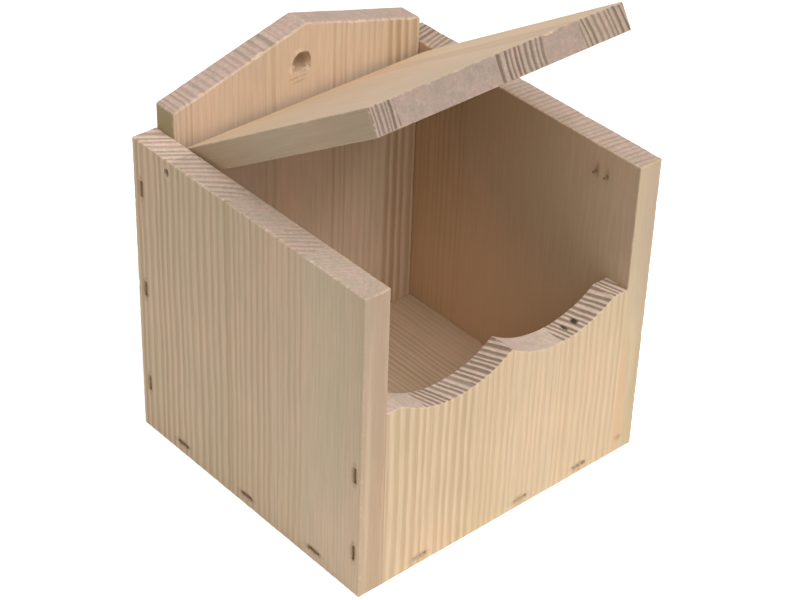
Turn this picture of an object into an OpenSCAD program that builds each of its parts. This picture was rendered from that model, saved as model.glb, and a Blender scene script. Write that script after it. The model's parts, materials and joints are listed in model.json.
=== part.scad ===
// Half-open nest box made of plain softwood boards.
// Millimetres, +Z up, +Y towards the back. The origin is the centre of the underside.
// The front board, the back board and the floor stand between two full side walls and
// are stapled through them. The lid lies between the walls and tilts on two nails.

/* [Box] */
// Width over both side walls
box_w = 230; // [190:1:300]
// Depth of the side walls from front to back
box_d = 214; // [170:1:280]
// Height of the side walls
wall_h = 216; // [180:1:300]
// Thickness of the walls, the front board and the back board
board_t = 18; // [15:1:22]
// Thickness of the floor
floor_t = 18; // [15:1:22]

/* [Front board] */
// Height of the front board at its three high points
front_h = 129; // [100:1:150]
// Depth of each of the two scallops in its top edge
scallop_depth = 14; // [6:1:20]
// Flat length left at each end of the top edge
scallop_land = 12; // [6:1:20]

/* [Back board] */
// Height of the back board's shoulders above the side walls
shoulder_rise = 17; // [8:1:40]
// Height of the gable's tip above the shoulders
gable_rise = 27; // [15:1:50]
// Distance of the tip from the middle, towards the right
tip_shift = 3.5; // [0:0.5:10]
// Radius of the hanging hole
hole_r = 7; // [3:0.5:9]
// Distance of the hole's centre below the tip
hole_drop = 26; // [18:1:32]

/* [Lid] */
// Thickness of the lid
lid_t = 17; // [14:1:21]
// Gap between the lid and each side wall
lid_side_gap = 2; // [1:0.5:5]
// Gap between the closed lid and the back board
lid_rear_gap = 9.5; // [9:0.5:15]
// Overhang of the closed lid past the front board
lid_overhang = 8.5; // [0:0.5:20]
// Distance of the hinge line from the lid's rear edge
hinge_inset = 6.5; // [5:0.5:9]
// Angle of the lid above level
lid_open = 32.5; // [0:0.5:92]

/* [Hinge nails] */
// Radius of the nail's shank
nail_r = 1.5; // [1:0.1:2]
// Radius of the nail's head
nail_head_r = 2.2; // [2:0.1:3]
// Thickness of the nail's head
nail_head_t = 1.2; // [0.8:0.1:2]
// Length of the nail with its head
nail_len = 40; // [35:1:55]
// Depth of the head below the wall's outer face
nail_sink = 1.6; // [0:0.1:3]
// Radial play of the nail in the lid
nail_play = 0.1; // [0.05:0.05:0.3]
// Room past the nail's tip in the lid
nail_tip_room = 2; // [1:0.5:5]

/* [Staples] */
// Width of the crown over both legs
crown_w = 10.5; // [8:0.5:13]
// Thickness of the square wire
wire_t = 1.5; // [1:0.1:1.8]
// Length of the legs with the crown
leg_len = 38; // [30:1:45]
// Depth of the crown below the board's face
crown_sink = 0.9; // [0.4:0.1:2]
// Height of the lowest staple in the side walls' front edges
front_staple_low = 31.5; // [28:0.5:45]
// Height of the lowest staple in the side walls' rear edges
rear_staple_low = 36.5; // [28:0.5:45]
// Distance of the top front staple below the front board's high points
front_staple_drop = 39; // [25:1:50]
// Distance of the top rear staple below the side wall's top
rear_staple_drop = 33; // [28:1:50]
// Distance of the front staples from the wall's front edge
front_staple_inset = 6; // [4:0.5:9]
// Distance of the rear staples from the wall's rear edge
rear_staple_inset = 7.5; // [4:0.5:9]
// Height of the side walls' staples into the floor
side_floor_z = 8; // [5:0.5:9]
// Height of the front and back boards' staples into the floor
end_floor_z = 6; // [4:0.5:9]
// Distance of the outer floor staples from the wall's front and rear edges
side_floor_inset = 42; // [30:1:50]
// Distance of the outer floor staples from the ends of the front and back boards
end_floor_inset = 29.5; // [27:0.5:40]
// Shift of the middle staple in the front and back boards, towards the right
mid_shift = 16; // [0:1:25]

/* [Lid stop] */
// Distance of the stop staple's middle from the wall's front edge
stop_inset = 30; // [20:1:50]
// Reach of the stop's two tips past the wall's inner face
stop_reach = 4; // [3:0.5:8]
// Gap between the closed lid and the stop
stop_gap = 0.5; // [0.3:0.1:2]

/* [Hidden] */
$fn = 48;
over = 1;
inner_w = box_w - 2 * board_t;
floor_d = box_d - 2 * board_t;
front_y = -box_d / 2;
back_y = box_d / 2;
shoulder_z = wall_h + shoulder_rise;
tip_z = shoulder_z + gable_rise;
hole_z = tip_z - hole_drop;

scallop_w = inner_w / 2 - scallop_land;
scallop_r = (scallop_w * scallop_w / 4 + scallop_depth * scallop_depth) / (2 * scallop_depth);

lid_w = inner_w - 2 * lid_side_gap;
lid_len = box_d - board_t - lid_rear_gap + lid_overhang;
hinge_y = back_y - board_t - lid_rear_gap - hinge_inset;
hinge_z = wall_h - lid_t / 2;
lid_bore_r = nail_r + nail_play;
lid_bore_len = nail_sink + nail_len - board_t - lid_side_gap + nail_tip_room;

front_staple_y = front_y + front_staple_inset;
rear_staple_y = back_y - rear_staple_inset;
front_staple_top = front_h - front_staple_drop;
rear_staple_top = wall_h - rear_staple_drop;
rear_staple_mid = (rear_staple_low + rear_staple_top) / 2;
side_floor_reach = box_d / 2 - side_floor_inset;
end_floor_reach = inner_w / 2 - end_floor_inset;
stop_y = front_y + stop_inset;
stop_z = wall_h - lid_t - stop_gap - wire_t / 2;
stop_leg = board_t + stop_reach - crown_sink;

wood = "BurlyWood";
steel = "DimGray";

// A staple whose crown runs along X, driven down through the plane z = 0.
module staple(leg = leg_len) {
    color(steel)
    translate([-crown_w / 2, -wire_t / 2, -crown_sink - leg])
    difference() {
        cube([crown_w, wire_t, leg]);
        translate([wire_t, -over, -over])
        cube([crown_w - 2 * wire_t, wire_t + 2 * over, leg - wire_t + over]);
    }
}

// The space that a staple takes, open up to the board's face.
module staple_pocket(leg = leg_len) {
    staple(leg);
    translate([-crown_w / 2, -wire_t / 2, -crown_sink])
    cube([crown_w, wire_t, crown_sink + over]);
}

// Places a piece on the left wall's outer face, with its crown upright.
module on_left(y, z) {
    translate([-box_w / 2, y, z])
    rotate([0, -90, 0])
    children();
}

// The same, with its crown level.
module on_left_level(y, z) {
    on_left(y, z)
    rotate([0, 0, 90])
    children();
}

// Places a piece on the front board's outer face, with its crown level.
module on_front(x, z) {
    translate([x, front_y, z])
    rotate([90, 0, 0])
    children();
}

module on_right(y, z) {
    mirror([1, 0, 0])
    on_left(y, z)
    children();
}

module on_right_level(y, z) {
    mirror([1, 0, 0])
    on_left_level(y, z)
    children();
}

module on_back(x, z) {
    mirror([0, 1, 0])
    on_front(x, z)
    children();
}

// A nail driven down through the plane z = 0.
module nail() {
    color(steel)
    union() {
        translate([0, 0, -nail_sink - nail_head_t])
        cylinder(r = nail_head_r, h = nail_head_t);
        translate([0, 0, -nail_sink - nail_len])
        cylinder(r = nail_r, h = nail_len - nail_head_t);
    }
}

// The nail's hole in a side wall, with the sunk place for its head.
module nail_pocket() {
    translate([0, 0, -nail_sink - nail_head_t])
    cylinder(r = nail_head_r, h = nail_sink + nail_head_t + over);
    translate([0, 0, -board_t - over])
    cylinder(r = nail_r, h = board_t + over);
}

// All staple pockets on the left side: wall, front board, back board and floor share them.
module left_pockets() {
    for (z = [front_staple_low, front_staple_top])
        on_left(front_staple_y, z) staple_pocket();
    for (z = [rear_staple_low, rear_staple_mid, rear_staple_top])
        on_left(rear_staple_y, z) staple_pocket();
    for (y = [-side_floor_reach, 0, side_floor_reach])
        on_left_level(y, side_floor_z) staple_pocket();
}

module right_pockets() {
    mirror([1, 0, 0])
    left_pockets();
}

// All staple pockets through the front board into the floor.
module front_pockets() {
    for (x = [-end_floor_reach, mid_shift, end_floor_reach])
        on_front(x, end_floor_z) staple_pocket();
}

module back_pockets() {
    mirror([0, 1, 0])
    front_pockets();
}

module plain_left_wall() {
    difference() {
        translate([-box_w / 2, front_y, 0])
        cube([board_t, box_d, wall_h]);
        left_pockets();
        on_left(hinge_y, hinge_z) nail_pocket();
    }
}

module left_wall() {
    color(wood)
    plain_left_wall();
}

module right_wall() {
    color(wood)
    difference() {
        mirror([1, 0, 0])
        plain_left_wall();
        on_right_level(stop_y, stop_z) staple_pocket(stop_leg);
    }
}

// Outline of the front board: a low edge of two shallow round scallops.
module front_outline() {
    difference() {
        translate([-inner_w / 2, 0])
        square([inner_w, front_h]);
        for (side = [-1, 1])
            translate([side * scallop_w / 2, front_h - scallop_depth + scallop_r])
            circle(r = scallop_r, $fn = 180);
    }
}

module front_board() {
    color(wood)
    difference() {
        translate([0, front_y + board_t, 0])
        rotate([90, 0, 0])
        linear_extrude(height = board_t)
        front_outline();
        left_pockets();
        right_pockets();
        front_pockets();
    }
}

// Outline of the back board: it rises above the walls to a low gable.
module back_outline() {
    polygon([
        [-inner_w / 2, 0],
        [inner_w / 2, 0],
        [inner_w / 2, shoulder_z],
        [tip_shift, tip_z],
        [-inner_w / 2, shoulder_z]
    ]);
}

module back_board() {
    color(wood)
    difference() {
        translate([0, back_y, 0])
        rotate([90, 0, 0])
        linear_extrude(height = board_t)
        back_outline();
        translate([0, back_y + over, hole_z])
        rotate([90, 0, 0])
        cylinder(r = hole_r, h = board_t + 2 * over);
        left_pockets();
        right_pockets();
        back_pockets();
    }
}

module floor_board() {
    color(wood)
    difference() {
        translate([-inner_w / 2, -floor_d / 2, 0])
        cube([inner_w, floor_d, floor_t]);
        left_pockets();
        right_pockets();
        front_pockets();
        back_pockets();
    }
}

// The lid, tilted up about the hinge line, with a blind bore in each side for its nail.
module lid() {
    color(wood)
    translate([0, hinge_y, hinge_z])
    rotate([-lid_open, 0, 0])
    difference() {
        translate([-lid_w / 2, hinge_inset - lid_len, -lid_t / 2])
        cube([lid_w, lid_len, lid_t]);
        for (side = [-1, 1])
            translate([side * (lid_w / 2 + over), 0, 0])
            rotate([0, -side * 90, 0])
            cylinder(r = lid_bore_r, h = lid_bore_len + over);
    }
}

left_wall();
right_wall();
front_board();
back_board();
floor_board();
lid();
on_left(hinge_y, hinge_z) nail();  // left_hinge_nail
on_right(hinge_y, hinge_z) nail();  // right_hinge_nail
on_right_level(stop_y, stop_z) staple(stop_leg);  // stop_staple

on_left(front_staple_y, front_staple_low) staple();  // left_front_staple_low
on_left(front_staple_y, front_staple_top) staple();  // left_front_staple_high
on_right(front_staple_y, front_staple_low) staple();  // right_front_staple_low
on_right(front_staple_y, front_staple_top) staple();  // right_front_staple_high

on_left(rear_staple_y, rear_staple_low) staple();  // left_rear_staple_low
on_left(rear_staple_y, rear_staple_mid) staple();  // left_rear_staple_mid
on_left(rear_staple_y, rear_staple_top) staple();  // left_rear_staple_high
on_right(rear_staple_y, rear_staple_low) staple();  // right_rear_staple_low
on_right(rear_staple_y, rear_staple_mid) staple();  // right_rear_staple_mid
on_right(rear_staple_y, rear_staple_top) staple();  // right_rear_staple_high

on_left_level(-side_floor_reach, side_floor_z) staple();  // left_floor_staple_front
on_left_level(0, side_floor_z) staple();  // left_floor_staple_mid
on_left_level(side_floor_reach, side_floor_z) staple();  // left_floor_staple_rear
on_right_level(-side_floor_reach, side_floor_z) staple();  // right_floor_staple_front
on_right_level(0, side_floor_z) staple();  // right_floor_staple_mid
on_right_level(side_floor_reach, side_floor_z) staple();  // right_floor_staple_rear

on_front(-end_floor_reach, end_floor_z) staple();  // front_floor_staple_left
on_front(mid_shift, end_floor_z) staple();  // front_floor_staple_mid
on_front(end_floor_reach, end_floor_z) staple();  // front_floor_staple_right
on_back(-end_floor_reach, end_floor_z) staple();  // back_floor_staple_left
on_back(mid_shift, end_floor_z) staple();  // back_floor_staple_mid
on_back(end_floor_reach, end_floor_z) staple();  // back_floor_staple_right
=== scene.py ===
import json
import math
import random

import bmesh
import bpy
from bpy.props import FloatProperty, FloatVectorProperty, IntProperty, PointerProperty
from mathutils import Matrix, Vector, noise
from mathutils.geometry import delaunay_2d_cdt


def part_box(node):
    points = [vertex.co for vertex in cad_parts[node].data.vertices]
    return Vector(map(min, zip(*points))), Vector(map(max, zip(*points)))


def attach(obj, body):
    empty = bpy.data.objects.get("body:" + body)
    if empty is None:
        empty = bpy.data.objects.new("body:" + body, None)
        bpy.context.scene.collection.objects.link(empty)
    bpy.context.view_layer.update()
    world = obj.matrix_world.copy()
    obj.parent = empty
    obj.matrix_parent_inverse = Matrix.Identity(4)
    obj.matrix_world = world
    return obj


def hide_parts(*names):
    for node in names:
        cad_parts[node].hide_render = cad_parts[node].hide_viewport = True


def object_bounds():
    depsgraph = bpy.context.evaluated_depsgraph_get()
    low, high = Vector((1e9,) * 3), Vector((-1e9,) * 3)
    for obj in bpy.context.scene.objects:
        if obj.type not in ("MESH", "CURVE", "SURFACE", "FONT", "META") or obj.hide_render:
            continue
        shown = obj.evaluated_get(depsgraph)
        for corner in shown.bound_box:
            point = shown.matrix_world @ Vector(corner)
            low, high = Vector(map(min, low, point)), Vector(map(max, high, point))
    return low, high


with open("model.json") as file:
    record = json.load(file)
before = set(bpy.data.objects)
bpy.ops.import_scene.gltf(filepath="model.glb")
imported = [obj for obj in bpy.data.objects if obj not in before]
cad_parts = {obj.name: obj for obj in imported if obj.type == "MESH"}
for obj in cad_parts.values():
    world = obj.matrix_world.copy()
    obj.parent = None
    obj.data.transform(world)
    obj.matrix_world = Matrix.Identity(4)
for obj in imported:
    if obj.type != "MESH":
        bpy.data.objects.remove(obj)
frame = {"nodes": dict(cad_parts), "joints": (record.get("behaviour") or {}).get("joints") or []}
cad_low, cad_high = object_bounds()

bl_info = {
    "name": "Nest Box",
    "version": (1, 0, 0),
    "blender": (4, 5, 0),
    "location": "View3D > Sidebar > Nest Box",
    "description": "Wood, steel and studio for a half-open nest box with a tilting lid",
    "category": "Object",
}

# The hinge, and the turn that lays the open lid level, where its grain runs along Y
hinge = frame["joints"][0]
hinge_point = Vector(hinge["pos_m"])
lid_angle = math.radians(-hinge["range_deg"][0])
lay_level = (
    Matrix.Translation(hinge_point)
    @ Matrix.Rotation(-lid_angle, 4, Vector(hinge["axis"]))
    @ Matrix.Translation(-hinge_point)
)

EVEN = (1.0, 1.0, 1.0)

# Each board has the axes across its grain, through its thickness and along its grain; the tints of its
# faces, its long edges and its sawn ends; and its staves. "end_scale" is the width of the rings on the
# ends against their width on the faces, and "easing" widens the rounding of the arrises.
# A stave ends at a place across the board, in millimetres. Then come its pith across and in depth, ring
# width, ring contrast on the faces and on the ends, share of late wood, tint, and the brightness of its
# ends, which is 1 where it is left out.
BOARDS = {
    "left_wall": {
        "slot": "side_wood",
        "axes": (1, 0, 2),
        "tints": ((1.035, 1.04, 1.045), (0.81, 0.78, 0.77), (0.875, 0.865, 0.86)),
        "staves": [
            (-95, -300, -142, 2.8, 0.5, 0.1, 0.4, (1.01, 0.98, 0.975), 0.96),
            (-83, -300, -260, 2.8, 0.4, 0.12, 0.4, (0.98, 0.98, 0.98), 0.96),
            (-55, -300, -260, 3.0, 0.3, 0.3, 0.4, (0.99, 0.99, 0.99), 0.96),
            (-28, -190, -230, 3.9, 1.1, 0.7, 0.4, (0.99, 0.98, 0.97), 0.96),
            (15, -160, -240, 4.1, 1.45, 0.25, 0.45, (0.98, 0.97, 0.96), 0.92),
            (70, -132, -266, 4.8, 1.6, 0.9, 0.45, (0.98, 0.975, 0.96), 1.0),
            (107, -132, -266, 4.8, 1.6, 1.0, 0.5, (1.0, 0.99, 0.98), 1.24),
        ],
    },
    "right_wall": {
        "slot": "side_wood",
        "axes": (1, 0, 2),
        "tints": ((0.885, 0.875, 0.89), (0.965, 0.98, 0.92), (0.82, 0.79, 0.79)),
        "staves": [
            (42, -290, 78, 4.3, 0.12, 0.65, 0.35, EVEN, 1.01),
            (74, -290, 150, 4.6, 1.3, 0.5, 0.3, (1.02, 1.0, 0.97)),
            (107, -104, 154, 4.1, 0.8, 1.5, 0.5, (1.0, 0.98, 0.94)),
        ],
    },
    "front_board": {
        "slot": "front_wood",
        "axes": (0, 1, 2),
        "tints": ((1.062, 1.046, 1.01), EVEN, (1.05, 1.07, 1.10)),
        "end_scale": 0.7,
        "staves": [
            (-67, -290, -180, 6.1, 1.4, 0.12, 0.5, EVEN),
            (-29, -290, -180, 6.1, 1.4, 1.9, 0.5, EVEN),
            (1, -290, -180, 4.9, 0.9, 2.3, 0.5, (1.0, 0.99, 0.97)),
            (42, -290, -180, 4.9, 0.8, 0.15, 0.4, EVEN),
            (97, -290, -180, 5.2, 0.95, 2.2, 0.45, (1.01, 1.0, 0.99)),
        ],
    },
    "back_board": {
        "slot": "back_wood",
        "axes": (0, 1, 2),
        "tints": ((0.963, 0.965, 1.035), (0.66, 0.67, 0.54), (0.89, 0.85, 0.85)),
        "easing": 2.0,
        "staves": [
            (-84, -290, 98, 3.8, 1.3, 0.9, 0.4, (0.97, 0.96, 0.97), 1.0),
            (-29, -290, 98, 5.0, 0.3, 0.6, 0.4, (0.98, 0.96, 0.975), 0.99),
            (-16, -290, 98, 6.2, 1.0, 0.9, 0.4, EVEN, 0.98),
            (3, -290, 98, 4.5, 0.2, 0.3, 0.4, (1.01, 0.99, 0.99), 0.95),
            # From here rightwards the staves' ends are darker: painted shade on the gable's right-hand
            # slope, which faces away from the light
            (25, -290, 98, 4.5, 0.2, 0.05, 0.4, (1.01, 0.99, 0.99), 0.88),
            (38, -290, 98, 4.5, 1.3, 0.05, 0.4, EVEN, 0.88),
            (66, -290, 98, 5.6, 0.8, 0.05, 0.45, EVEN, 0.88),
            (97, -290, 98, 6.8, 2.4, 0.1, 0.5, (1.0, 0.99, 0.97), 0.9),
        ],
    },
    "floor_board": {
        "slot": "floor_wood",
        "axes": (0, 2, 1),
        "tints": ((0.80, 0.795, 0.81), EVEN, EVEN),
        "staves": [
            (-30, -290, -60, 3.3, 1.5, 1.0, 0.45, (1.03, 1.02, 1.01)),
            (20, -290, -40, 4.6, 0.6, 1.0, 0.45, (1.02, 1.01, 1.0)),
            (66, -290, -60, 3.7, 1.6, 1.0, 0.45, (1.03, 1.03, 1.04)),
            (97, -290, -60, 3.7, 0.6, 1.0, 0.42, (1.02, 1.01, 1.01)),
        ],
    },
    "lid": {
        "slot": "lid_wood",
        "axes": (0, 2, 1),
        "tints": ((1.05, 1.03, 1.06), (0.85, 0.85, 0.86), (0.69, 0.665, 0.665)),
        "staves": [
            (-78, -230, 212, 2.7, 0.9, 1.6, 0.45, (0.97, 0.97, 0.96), 1.05),
            (-5, -290, 140, 5.0, 0.9, 0.03, 0.4, (0.985, 0.975, 0.97)),
            (30, 90, 203, 4.0, 0.9, 1.9, 0.45, (1.0, 0.99, 0.98), 1.11),
            (58, 45, 150, 5.0, 1.0, 0.03, 0.4, (1.01, 1.0, 0.985), 0.97),
            (95, -40, 190, 4.0, 0.7, 1.5, 0.4, (1.04, 1.03, 0.98), 1.08),
        ],
    },
}

PALE_WOOD = (0.88, 0.68, 0.50)
# Torn wood; below the hanging hole it also paints the small shadows of torn fibres
TORN_WOOD_AND_FIBRE_SHADOW = (0.42, 0.28, 0.16)
# Painted shadow, for the dark strokes beside the stop wire's legs
PAINTED_SHADOW_BROWN = (0.24, 0.14, 0.07)
RESIN = (0.035, 0.024, 0.010)
# Soft painted marks, some of them painted light and shade: centre and size in millimetres, raggedness,
# softness, strength and colour
MARKS = {
    "left_wall": (
        # Darker and rosier towards the top of the wall's front edge
        ((-106.0, -108.0, 190.0), (14.0, 5.0, 75.0), 0.25, 0.8, 0.35, (0.52, 0.39, 0.29)),
        ((-110.5, -108.0, 95.0), (1.6, 3.0, 80.0), 0.3, 0.6, 0.3, (0.86, 0.68, 0.49)),
        ((-97.2, -108.0, 62.0), (0.5, 3.0, 70.0), 0.5, 0.4, 0.45, (0.40, 0.26, 0.16)),
    ),
    "right_wall": (
        ((98.0, -108.0, 38.0), (6.5, 5.0, 48.0), 0.35, 0.5, 0.35, (0.86, 0.44, 0.20)),
        ((102.0, -108.0, 11.0), (3.0, 3.0, 2.2), 0.6, 0.6, 0.5, (0.45, 0.22, 0.11)),
        # Darker and rosier towards the top of the wall's front edge
        ((110.0, -108.0, 165.0), (6.0, 5.0, 60.0), 0.4, 0.6, 0.35, (0.62, 0.42, 0.33)),
        ((106.0, -108.0, 195.0), (14.0, 5.0, 60.0), 0.25, 0.8, 0.42, (0.56, 0.44, 0.31)),
        # On the inner face: a painted shadow of the lid on the upper part, and painted light on the lower
        # part
        ((97.0, 20.0, 195.0), (4.0, 75.0, 60.0), 0.25, 0.8, 0.34, (0.44, 0.31, 0.20)),
        ((97.0, 15.0, 45.0), (4.0, 95.0, 62.0), 0.25, 0.8, 0.62, (0.82, 0.60, 0.41)),
        # Painted shadows beside the two legs of the lid's stop wire
        ((97.0, -72.9, 198.6), (3.0, 1.5, 5.0), 0.5, 0.7, 0.5, PAINTED_SHADOW_BROWN),
        ((97.0, -81.6, 198.6), (3.0, 1.3, 4.4), 0.5, 0.7, 0.35, PAINTED_SHADOW_BROWN),
    ),
    "front_board": (
        ((52.3, -98.0, 119.0), (1.2, 3.4, 9.0), 0.5, 0.35, 0.9, RESIN),
        ((60.2, -98.5, 121.0), (1.9, 3.2, 9.0), 0.5, 0.35, 0.97, RESIN),
    ),
    "back_board": (
        ((0.0, 98.0, 230.5), (8.0, 8.0, 6.0), 0.3, 0.2, 0.45, TORN_WOOD_AND_FIBRE_SHADOW),
        ((-8.3, 89.0, 231.5), (2.0, 3.0, 2.4), 0.7, 0.5, 0.55, PALE_WOOD),
        ((-2.5, 89.0, 242.6), (3.4, 3.0, 1.4), 0.7, 0.5, 0.45, PALE_WOOD),
        # Short dark dashes below the hanging hole: torn wood with the shadows of its fibres painted in
        ((-3.0, 89.0, 224.6), (7.0, 3.0, 0.9), 1.1, 0.5, 0.5, TORN_WOOD_AND_FIBRE_SHADOW),
        ((-2.0, 89.0, 221.6), (5.0, 3.0, 0.8), 1.1, 0.5, 0.4, TORN_WOOD_AND_FIBRE_SHADOW),
    ),
}


# ---------------- sizes and colours


def colour(name, text, value):
    return FloatVectorProperty(
        name=name, description=text, subtype="COLOR", size=3, min=0.0, max=1.0, default=value
    )


def number(name, text, value, high, low=0.0, **kind):
    return FloatProperty(name=name, description=text, min=low, max=high, default=value, **kind)


def length(name, text, value, high):
    return number(name, text, value, high, unit="LENGTH", subtype="DISTANCE")


class NESTBOX_PG_wood(bpy.types.PropertyGroup):
    early_wood: colour("Early wood", "Pale part of a ring on a planed face", (0.74, 0.57, 0.385))
    late_wood: colour("Late wood", "Dark part of a ring on a planed face", (0.60, 0.425, 0.26))
    end_early: colour("End grain, early", "Pale part of a ring on a sawn end", (0.66, 0.52, 0.42))
    end_late: colour("End grain, late", "Dark part of a ring on a sawn end", (0.30, 0.215, 0.155))
    # On the arrises this pale colour is partly real wear and partly painted highlight
    worn_wood: colour("Worn edge", "Bruised and rubbed arrises", (0.80, 0.62, 0.44))
    stained_wood: colour("Stained wood", "Crushed wood round the staples and nails", (0.26, 0.155, 0.075))
    bruised_wood: colour("Bruised wood", "Soft halo round the staples and nails", (0.37, 0.24, 0.125))
    ring_wander: number("Ring wander", "How far the rings stray, in millimetres", 1.6, 8.0)
    relief: number("Relief", "Height of the late wood over the early wood", 0.35, 2.0)


class NESTBOX_PG_arris(bpy.types.PropertyGroup):
    rounding: length("Rounding", "Width of the eased arrises", 0.0006, 0.003)
    chip: length("Chips", "Depth of the largest chips out of an arris", 0.0009, 0.004)
    step: length("Step", "Distance between points along an arris", 0.0011, 0.01)
    teeth: length("Teeth", "Distance between the small teeth along a sawn arris", 0.0058, 0.02)
    seed: IntProperty(name="Seed", description="Another set of chips", min=0, default=4)


class NESTBOX_PG_steel(bpy.types.PropertyGroup):
    wire: length("Wire", "Thickness of the staples' wire", 0.00135, 0.0015)
    shoulder: length("Shoulder", "Radius of the staples' bends", 0.0012, 0.003)
    bright: colour("Bright steel", "Zinc-coated wire", (0.30, 0.20, 0.115))
    tarnished: colour("Tarnished steel", "The hinge nails", (0.115, 0.066, 0.036))
    clean: colour("Clean steel", "The crowns in the front board", (0.78, 0.62, 0.44))
    rust: colour("Rust", "Rust in the wire's hollows", (0.15, 0.08, 0.037))


class NESTBOX_PG_stage(bpy.types.PropertyGroup):
    floor: colour("Floor", "Colour of the sheet under the box", (0.86, 0.86, 0.86))
    table: colour("Table", "Colour of the plain floor round the sheet", (0.55, 0.55, 0.55))
    sky: number("Sky", "Strength of the even light all round", 0.12, 2.0)
    lamps: number("Lamps", "Strength of the four soft lamps", 1.0, 4.0)
    lens: number("Lens", "Focal length", 99.55, 300.0, 20.0, unit="CAMERA")


# ---------------- node helpers


class Value:
    """What a node puts out, ready for sums with other values and with plain numbers."""

    def __init__(self, nodes, socket):
        self.nodes = nodes
        self.socket = socket

    def __add__(self, other):
        return self.nodes.math("ADD", self, other)

    def __sub__(self, other):
        return self.nodes.math("SUBTRACT", self, other)

    def __rsub__(self, other):
        return self.nodes.math("SUBTRACT", other, self)

    def __mul__(self, other):
        return self.nodes.math("MULTIPLY", self, other)

    def __truediv__(self, other):
        return self.nodes.math("DIVIDE", self, other)


def is_wide(value):
    """Whether a value is a vector or a colour."""
    if isinstance(value, Value):
        return value.socket.type in ("VECTOR", "RGBA")
    return isinstance(value, tuple)


class Nodes:
    """Adds nodes to one tree and links them."""

    def __init__(self, tree):
        tree.nodes.clear()
        self.tree = tree
        self.count = 0

    def add(self, kind, inputs=None, **settings):
        node = self.tree.nodes.new(kind)
        node.location = (220 * (self.count % 12), -260 * (self.count // 12))
        self.count += 1
        for name, value in settings.items():
            setattr(node, name, value)
        for socket, value in (inputs or {}).items():
            self.set(node.inputs[socket], value)
        return node

    def set(self, socket, value):
        """Links a socket to a value or to a node's first output, or sets it to a plain value."""
        if isinstance(value, Value):
            value = value.socket
        elif isinstance(value, bpy.types.Node):
            value = value.outputs[0]
        if isinstance(value, bpy.types.NodeSocket):
            self.tree.links.new(value, socket)
        elif socket.type == "RGBA":
            socket.default_value = (*value, 1.0)
        else:
            socket.default_value = value

    def value(self, kind, inputs=None, out=0, **settings):
        return Value(self, self.add(kind, inputs, **settings).outputs[out])

    def math(self, operation, *values):
        """A sum of numbers, or of vectors and colours where one of the values is such."""
        if any(is_wide(v) for v in values):
            kind = "ShaderNodeVectorMath"
            values = [(v,) * 3 if isinstance(v, float) else v for v in values]
        else:
            kind = "ShaderNodeMath"
        return self.value(kind, dict(enumerate(values)), operation=operation)

    def place(self):
        return self.value("ShaderNodeTexCoord", None, "Object")

    def length(self, place):
        return self.value("ShaderNodeVectorMath", {0: place}, "Value", operation="LENGTH")

    def parts(self, place):
        return [Value(self, part) for part in self.add("ShaderNodeSeparateXYZ", {0: place}).outputs]

    def point(self, *parts):
        return self.value("ShaderNodeCombineXYZ", dict(enumerate(parts)))

    def ramp(self, value, low, high, to_low=0.0, to_high=1.0, smooth=True):
        return self.value(
            "ShaderNodeMapRange",
            dict(enumerate((value, low, high, to_low, to_high))),
            interpolation_type="SMOOTHSTEP" if smooth else "LINEAR",
            clamp=True,
        )

    def mix(self, factor, first, second, **settings):
        inputs = {0: factor, 6: first, 7: second}
        return self.value("ShaderNodeMix", inputs, 2, data_type="RGBA", **settings)

    def noise(self, point, scale, detail=2.0, roughness=0.5, out=0, dimensions="3D"):
        place = "W" if dimensions == "1D" else "Vector"
        inputs = {place: point, "Scale": scale, "Detail": detail, "Roughness": roughness}
        return self.value("ShaderNodeTexNoise", inputs, out, noise_dimensions=dimensions)

    def attribute(self, name):
        return self.value("ShaderNodeAttribute", None, "Fac", attribute_name=name)

    def group(self, name, make, inputs):
        """An effect group, which is made the first time."""
        tree = bpy.data.node_groups.get(name) or make(name)
        return self.add("ShaderNodeGroup", inputs, node_tree=tree)

    def surface(self, inputs, bumps, strength, depth=0.0001):
        """Ends a material in a surface with low bumps."""
        bump = self.add("ShaderNodeBump", {"Strength": strength, "Distance": depth, "Height": bumps})
        shader = self.add("ShaderNodeBsdfPrincipled", {**inputs, "Normal": bump})
        self.add("ShaderNodeOutputMaterial", {"Surface": shader})

    def hand_over(self, outputs):
        """Ends a group, and gives back its tree."""
        self.add("NodeGroupOutput", outputs)
        return self.tree


def new_material(name):
    material = bpy.data.materials.new(name)
    material.use_nodes = True
    return material, Nodes(material.node_tree)


def new_group(name, inputs, outputs, kind="ShaderNodeTree"):
    """A node group with named sockets. Each has its default, or the name of its kind if it has none."""
    tree = bpy.data.node_groups.new(name, kind)
    for way, sockets in (("INPUT", inputs), ("OUTPUT", outputs)):
        for title, value in sockets.items():
            if isinstance(value, str):
                tree.interface.new_socket(title, in_out=way, socket_type="NodeSocket" + value)
                continue
            sort = "Float" if isinstance(value, float) else "Color" if len(value) == 4 else "Vector"
            socket = tree.interface.new_socket(title, in_out=way, socket_type="NodeSocket" + sort)
            socket.default_value = value
    nodes = Nodes(tree)
    given = nodes.add("NodeGroupInput").outputs
    return nodes, {title: Value(nodes, given[title]) for title in inputs}


# ---------------- wood

# Noises drawn out along the grain: how fast each changes across, in depth and along, detail, roughness
NOISES = {
    "Fibres": ((1.1, 1.1, 0.035), 3.0, 0.65),
    "Mottle": ((0.02, 0.02, 0.009), 3.0, 0.55),
    "Patches": ((0.11, 0.11, 0.05), 3.0, 0.6),
    "Bruises": ((0.4, 0.4, 0.4), 2.0, 0.6),
    "Pores": ((3.2, 3.2, 3.2), 2.0, 0.7),
}
GRAIN_MASKS = ("Late Wood", "Ring Tone", *NOISES)
ROSY = (1.07, 0.965, 0.98)
OLIVE = (0.935, 0.985, 0.935)
WHITE = (1.0, 1.0, 1.0, 1.0)

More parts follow.
